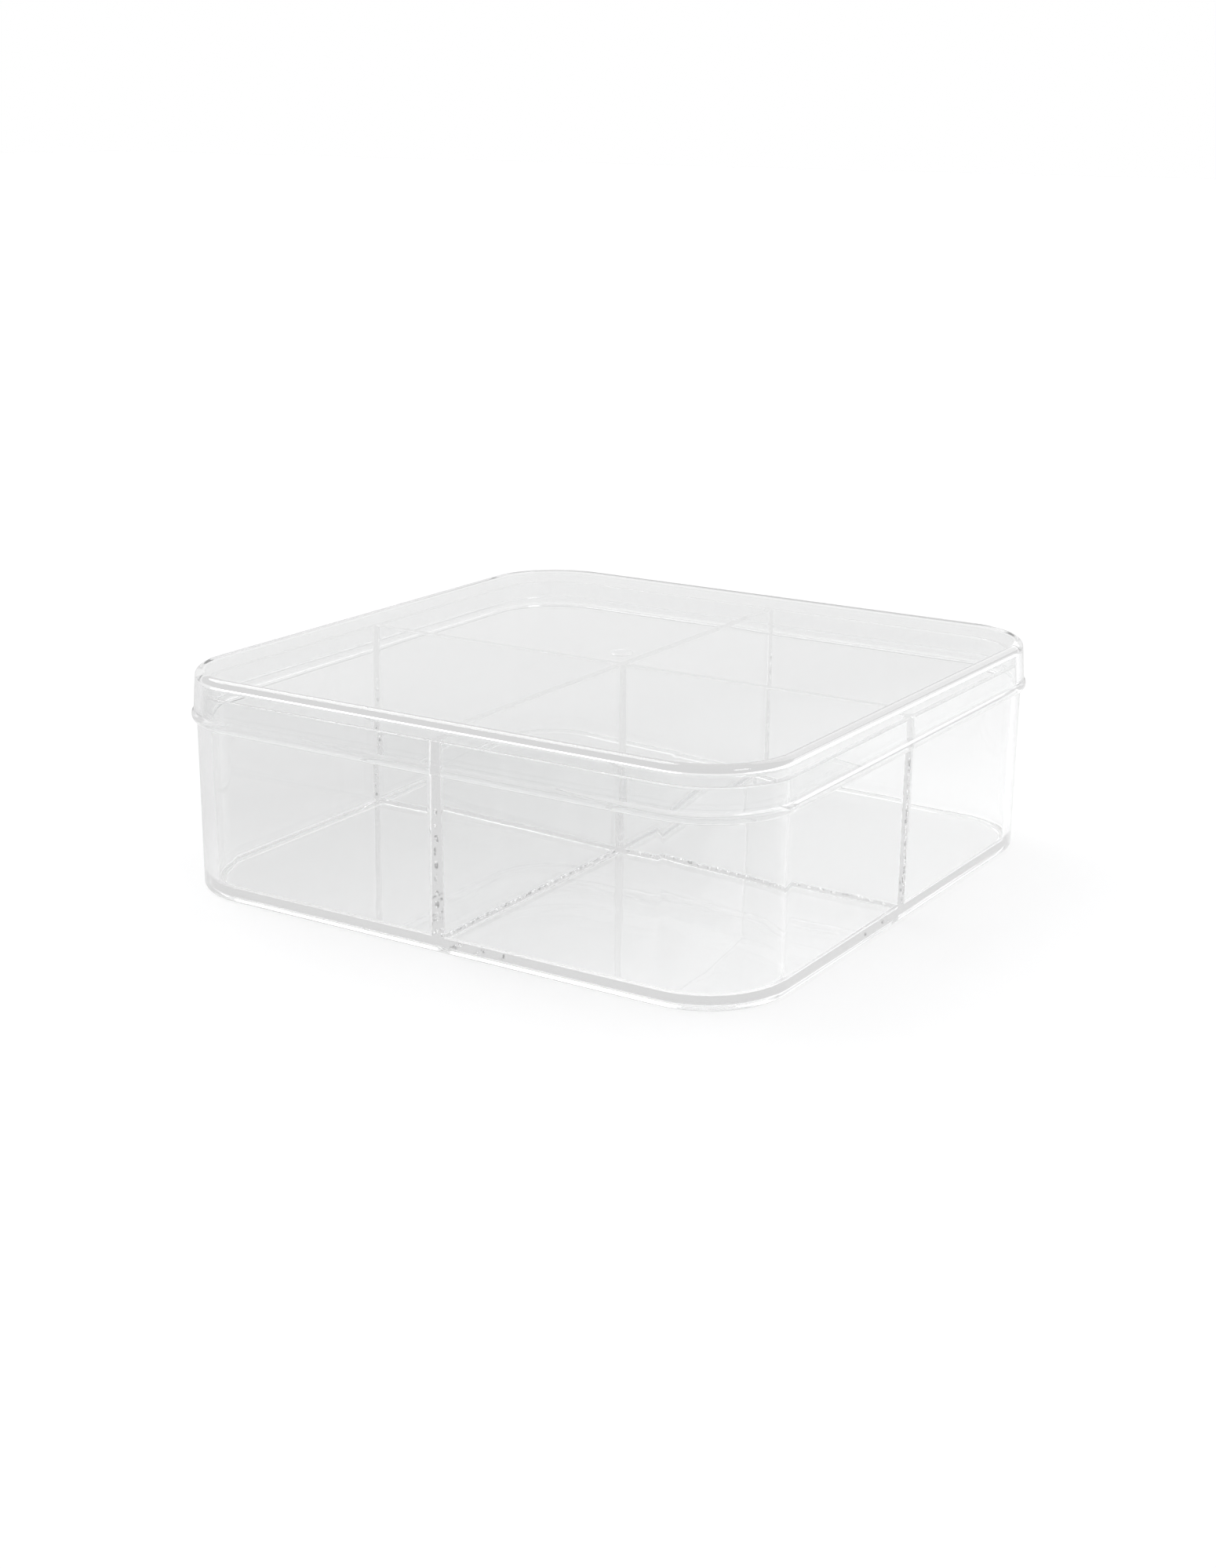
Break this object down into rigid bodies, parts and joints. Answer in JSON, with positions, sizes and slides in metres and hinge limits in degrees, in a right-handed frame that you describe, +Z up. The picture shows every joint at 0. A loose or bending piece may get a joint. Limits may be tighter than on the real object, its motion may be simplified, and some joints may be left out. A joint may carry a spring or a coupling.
{
  "type": "storage box",
  "caption": "Low square storage box of clear acrylic with rounded corners, crossed dividers and a lift-off lid that sits on a ledge.",
  "frame": {"origin": "middle of the underside, in the plane of the foot ring that the box stands on", "axes": "+Z up through the middle of the lid; the long divider runs along Y, the cross divider along X"},
  "size_m": [0.1788, 0.1788, 0.06],
  "materials": {
    "tray_acrylic": "polished",
    "divider_acrylic": "polished",
    "lid_acrylic": "polished"
  },
  "bodies": {
    "tray": {"tray": "tray_acrylic", "divider_long": "divider_acrylic", "divider_cross": "divider_acrylic"},
    "lid": {"lid": "lid_acrylic"}
  },
  "joints": [
    {"name": "lid_lift", "type": "slide", "parent": "tray", "child": "lid", "axis": [0, 0, 1], "range_m": [0, 0.08]}
  ]
}
